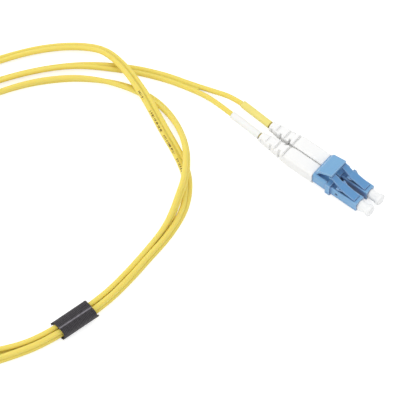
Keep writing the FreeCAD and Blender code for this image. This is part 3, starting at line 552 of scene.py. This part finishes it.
YELLOW, DUSTY_YELLOW = colour(244, 225, 115), colour(233, 206, 86)
JACKET = jacket("yellow_jacket", YELLOW, DUSTY_YELLOW)
MARKED_JACKET = jacket("marked_jacket", YELLOW, DUSTY_YELLOW, MARKED_STRETCHES)

cord_a, line_a = make_cord("a", LEG_A_START, LEG_A_END, -1, JACKET)
cord_b, line_b = make_cord("b", LEG_B_START, LEG_B_END, +1, MARKED_JACKET)
# Both lines have the same points in number, so the web lies between equal stretches of them.
FIRST_ZIP = (len(LEG_A_START) - 1) * PATH_STEPS
PAST_ZIP = len(line_a) - (len(LEG_A_END) - 1) * PATH_STEPS
web = make_web(line_a[FIRST_ZIP:PAST_ZIP], line_b[FIRST_ZIP:PAST_ZIP], JACKET)

STRAP_CENTRE = Vector((-0.031, -0.1061, 0))
STRAP_HEADING = 77.5
STRAP_LENGTH = 0.0142
STRAP_WIDTH, STRAP_HEIGHT = 0.0077, 0.0068
STRAP_TAPE = 0.0009             # thickness of the tape
STRAP_GIRTH = 0.0245
STRAP_SQUARENESS = 2.5          # power of its rounded section: 2 would be an ellipse
STRAP_SUNK = 0.0004             # of its outside below the CAD section, so that lap and sag stay within
STRAP_STEPS_ROUND, STRAP_STEPS_ALONG = 120, 30
LAP_RISE = 0.00034              # of the tape's outer end over the turn below
LAP_ANGLE, LAP_WIDTH = 82, 1.5  # where that end lies, round from the right side, and how sharp it is
FADE_ANGLE, FADE_WIDTH = 200, 12        # where the rise fades out again
SAG = 0.00016
EDGE_SKEW = 0.0002
EAR_REACH, EAR_WIDTH = 0.0010, 7        # loose corners of the tape
FRONT_EAR, REAR_EAR = 350, 158
THREAD_REACH = 0.00007
FLOOR_GAP = 0.00002


def bell(value, middle, width):
    return math.exp(-((value - middle) / width) ** 2)


def rise(value, middle, width):
    """0 well below the middle, 1 well above it."""
    return 1 / (1 + math.exp((middle - value) / width))


def strap_section(angle, inset, share):
    """A point of the tape's outline at an angle; share runs from -1 to 1 along the strap."""
    turn = math.radians(angle)
    c, s = math.cos(turn), math.sin(turn)
    power = 2 / STRAP_SQUARENESS
    lap = LAP_RISE * rise(angle, LAP_ANGLE, LAP_WIDTH) * (1 - rise(angle, FADE_ANGLE, FADE_WIDTH))
    sag = SAG * math.sin(3 * turn + 1.1) * (0.4 + 0.6 * share)
    reach = -inset if inset else lap + sag - STRAP_SUNK
    y = (STRAP_WIDTH / 2 + reach) * math.copysign(abs(c) ** power, c)
    z = (STRAP_HEIGHT / 2 + reach) * math.copysign(abs(s) ** power, s)
    return y, z


def strap_edge(angle, share, row):
    """How far the tape's edge strays along the strap: a skewed lap, loose corners, cut threads."""
    if abs(share) < 0.999:
        return 0.0
    skew = EDGE_SKEW * math.sin(math.radians(angle) * 2 + 0.6)
    ear = bell(angle, FRONT_EAR, EAR_WIDTH) if share > 0 else -bell(angle, REAR_EAR, EAR_WIDTH)
    threads = THREAD_REACH * math.sin(angle * 1.9) * math.sin(angle * 0.83 + row)
    return skew + EAR_REACH * ear + threads


def strap_points():
    """Rings of points along the strap: each row has an outer and an inner ring."""
    heading = math.radians(STRAP_HEADING)
    along = Vector((math.cos(heading), math.sin(heading), 0))
    across = along.cross(UP)
    points = []
    for row in range(STRAP_STEPS_ALONG + 1):
        share = row / STRAP_STEPS_ALONG * 2 - 1
        for inset in (0, STRAP_TAPE):
            for step in range(STRAP_STEPS_ROUND):
                angle = 360 * step / STRAP_STEPS_ROUND
                y, z = strap_section(angle, inset, share)
                x = share * STRAP_LENGTH / 2 + strap_edge(angle, share, row)
                point = STRAP_CENTRE + along * x + across * y
                point.z = max(STRAP_HEIGHT / 2 + z, FLOOR_GAP)
                points.append(point)
    return points


def make_strap():
    """Tape wound round both turns of the cord, its outer end lapped along the top."""
    steps, rows = STRAP_STEPS_ROUND, STRAP_STEPS_ALONG
    loop = 2 * steps
    faces, uvs = [], []
    for row in range(rows):
        u0, u1 = (STRAP_LENGTH * k / rows for k in (row, row + 1))
        for step in range(steps):
            v0, v1 = (STRAP_GIRTH * k / steps for k in (step, step + 1))
            a, b = row * loop + step, row * loop + (step + 1) % steps
            faces.append((a, b, b + loop, a + loop))
            uvs += [(u0, v0), (u0, v1), (u1, v1), (u1, v0)]
            a, b = a + steps, b + steps
            faces.append((a, a + loop, b + loop, b))
            uvs += [(u0, v0), (u1, v0), (u1, v1), (u0, v1)]
    for row, flip in ((0, True), (rows, False)):
        for step in range(steps):
            v0, v1 = (STRAP_GIRTH * k / steps for k in (step, step + 1))
            a, b = row * loop + step, row * loop + (step + 1) % steps
            corners = (a, b, b + steps, a + steps)
            faces.append(corners[::-1] if flip else corners)
            first, second = (v1, v0) if flip else (v0, v1)
            uvs += [(0, first), (0, second), (STRAP_TAPE, second), (STRAP_TAPE, first)]
    piece = mesh_object("tie_strap", strap_points(), faces, uvs)
    wear(piece, strap_weave("strap_weave", STRAP_GIRTH * LAP_ANGLE / 360))
    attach(piece, "cord_set")
    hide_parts("cable_strap")
    return piece


strap = make_strap()

# Colours of the painted highlight on the plastics' outer edges, of painted shade in their creases and of
# deeper painted shade in their gaps.
EDGE_HIGHLIGHT_BLUE, SHADE_BLUE, DEEP_SHADE_BLUE = colour(190, 218, 246), colour(84, 116, 182), colour(24, 36, 66)
BLUE = moulded_plastic("blue_plastic", colour(121, 173, 215), colour(110, 163, 208),
                       EDGE_HIGHLIGHT_BLUE, SHADE_BLUE, DEEP_SHADE_BLUE)
# The latch is moulded in the housing's blue; this darker copy is painted shade for its sloping arms.
SHADED_LATCH_BLUE = moulded_plastic("latch_plastic_painted_shade", colour(98, 153, 204), colour(90, 144, 197),
                             EDGE_HIGHLIGHT_BLUE, SHADE_BLUE, DEEP_SHADE_BLUE)
# The backbone is darker than the housing to stand for the shade inside the plugs' side windows: painted
# shade. Its last three colours are painted edge highlight, painted crease shade and deeper painted shade.
DARK_BLUE = moulded_plastic("backbone_plastic", colour(38, 66, 112), colour(30, 54, 96),
                            colour(60, 96, 150), colour(24, 40, 74), colour(10, 16, 30))
BOOT = boot_rubber("white_boot", colour(253, 253, 252), colour(248, 248, 247))
CAP = cap_plastic("dust_cap")
CERAMIC = ceramic("zirconia")
FLANGE = metal("nickel_flange", colour(196, 190, 178), 0.28, (300, 9000, 9000))
CRIMP = metal("crimp_ring", colour(200, 186, 150), 0.35, (300, 9000, 9000))
SPRING = metal("spring_wire", colour(176, 178, 182), 0.3, (4000, 4000, 4000))
BUFFER = boot_rubber("buffer", colour(236, 235, 230), colour(224, 222, 214))
# Each sleeve's last three colours: painted edge highlight, painted crease shade and deeper painted shade.
YELLOW_SLEEVE = moulded_plastic("yellow_sleeve", colour(244, 229, 130), colour(240, 221, 114),
                                colour(248, 238, 170), colour(234, 212, 100), colour(204, 172, 70), 0.45)
WHITE_SLEEVE = moulded_plastic("white_sleeve", colour(249, 249, 247), colour(241, 241, 239),
                               colour(252, 252, 251), colour(236, 236, 233), colour(196, 196, 192), 0.45)

DRESS = {
    "plug_housing": BLUE, "latch": SHADED_LATCH_BLUE, "duplex_clip": BLUE, "trigger": BLUE, "backbone": DARK_BLUE,
    "boot": BOOT, "dust_cap": CAP, "ferrule": CERAMIC, "ferrule_flange": FLANGE, "crimp_sleeve": CRIMP,
    "fibre": BUFFER,
}


def dress_nodes():
    """Give every CAD node that stays in view its material."""
    for name, node in NODES.items():
        plain = name.removeprefix("far_")
        leg = plain[-2:] if plain[-2:] in ("_a", "_b") else ""
        kind = plain.removesuffix(leg)
        if kind == "id_sleeve":
            wear(node, YELLOW_SLEEVE if leg == "_a" else WHITE_SLEEVE)
        elif kind in DRESS:
            wear(node, DRESS[kind])


dress_nodes()

SPRING_WIRE = 0.00025
SPRING_TURNS = 6
SPRING_STEPS = 22               # points in each turn
SPRING_SIDES = 8


def make_spring(end, leg):
    """A plug's spring as round wire, at its length in the CAD node's box; the real spring shortens while
    the ferrule is pushed in.
    """
    node = f"{end}ferrule_spring_{leg}"
    low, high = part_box(node)
    middle, size = (low + high) / 2, high - low
    if end:
        rear, along, across = Vector((middle.x, high.y, middle.z)), Vector((0, -1, 0)), Vector((-1, 0, 0))
        length = size.y
    else:
        rear, along, across = Vector((low.x, middle.y, middle.z)), Vector((1, 0, 0)), Vector((0, -1, 0))
        length = size.x
    radius = (size.z - SPRING_WIRE) / 2
    reach = length - SPRING_WIRE
    steps = SPRING_TURNS * SPRING_STEPS
    line = []
    for step in range(steps + 1):
        angle = 2 * math.pi * step / SPRING_STEPS
        spoke = across * math.cos(angle) + UP * math.sin(angle)
        line.append(rear + along * (SPRING_WIRE / 2 + reach * step / steps) + spoke * radius)
    piece = tube(f"{end}spring_coil_{leg}", line, SPRING_WIRE / 2, SPRING_SIDES)
    wear(piece, SPRING)
    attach(piece, "cord_set")
    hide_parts(node)
    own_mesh(piece)


for spring_end in ("", "far_"):
    for spring_leg in ("a", "b"):
        make_spring(spring_end, spring_leg)

# ---------------------------------------------------------------- floor and light

FLOOR_HALF = 1.6
FLOOR_GREY = (0.8, 0.8, 0.8, 1)
FLOOR_GLOW = 0.6
WORLD_LIGHT = 0.9
LAMP_AIM = Vector((-0.05, -0.06, 0))
LAMP_SIZE = 0.7
KEY_PLACE, KEY_POWER = (-0.9, 0.2, 1.3), 2.2
SIDE_PLACE, SIDE_POWER = (-0.8, -1.2, 0.7), 2.8


def make_floor():
    """A wide flat white sheet that glows in view and so keeps only a faint shadow."""
    corners = [(x * FLOOR_HALF, y * FLOOR_HALF, 0) for x, y in ((-1, -1), (1, -1), (1, 1), (-1, 1))]
    floor = mesh_object("floor", corners, [(0, 1, 2, 3)], smooth=False)
    made = Material("floor_white", FLOOR_GREY, 0.9, Specular_IOR_Level=0.1)
    glow = made.node("Emission")
    glow.inputs["Strength"].default_value = FLOOR_GLOW
    rays = made.node("LightPath").outputs
    seen = made.math("MAXIMUM", rays["Is Camera Ray"], rays["Is Glossy Ray"])
    seen = made.math("MAXIMUM", seen, rays["Is Transmission Ray"])
    dark = made.node("Emission")
    dark.inputs["Strength"].default_value = 0.0
    pick = made.node("MixShader")
    made.link(seen, pick.inputs["Fac"])
    made.link(dark.outputs["Emission"], pick.inputs[1])
    made.link(glow.outputs["Emission"], pick.inputs[2])
    both = made.node("AddShader")
    made.link(made.shader.outputs["BSDF"], both.inputs[0])
    made.link(pick.outputs["Shader"], both.inputs[1])
    made.link(both.outputs["Shader"], made.tree.nodes["Material Output"].inputs["Surface"])
    wear(floor, made.material)


def make_world():
    """Even white light from all round; past the floor the camera sees it a little darker."""
    world = bpy.data.worlds.new("studio")
    world.use_nodes = True
    tree = world.node_tree
    light = tree.nodes["Background"]
    light.inputs["Color"].default_value = (1, 1, 1, 1)
    light.inputs["Strength"].default_value = WORLD_LIGHT
    white = tree.nodes.new("ShaderNodeBackground")
    white.inputs["Strength"].default_value = 1.0
    rays = tree.nodes.new("ShaderNodeLightPath")
    pick = tree.nodes.new("ShaderNodeMixShader")
    tree.links.new(rays.outputs["Is Camera Ray"], pick.inputs["Fac"])
    tree.links.new(light.outputs["Background"], pick.inputs[1])
    tree.links.new(white.outputs["Background"], pick.inputs[2])
    tree.links.new(pick.outputs["Shader"], tree.nodes["World Output"].inputs["Surface"])
    bpy.context.scene.world = world


def soft_lamp(name, position, power):
    """A round area lamp aimed at the middle of the coil."""
    data = bpy.data.lights.new(name, "AREA")
    data.shape = "DISK"
    data.size = LAMP_SIZE
    data.energy = power
    lamp = bpy.data.objects.new(name, data)
    lamp.location = position
    lamp.rotation_euler = (LAMP_AIM - Vector(position)).to_track_quat("-Z", "Y").to_euler()
    bpy.context.scene.collection.objects.link(lamp)


make_floor()
make_world()
soft_lamp("key", KEY_PLACE, KEY_POWER)
soft_lamp("side", SIDE_PLACE, SIDE_POWER)
bpy.context.scene.view_settings.view_transform = "Standard"
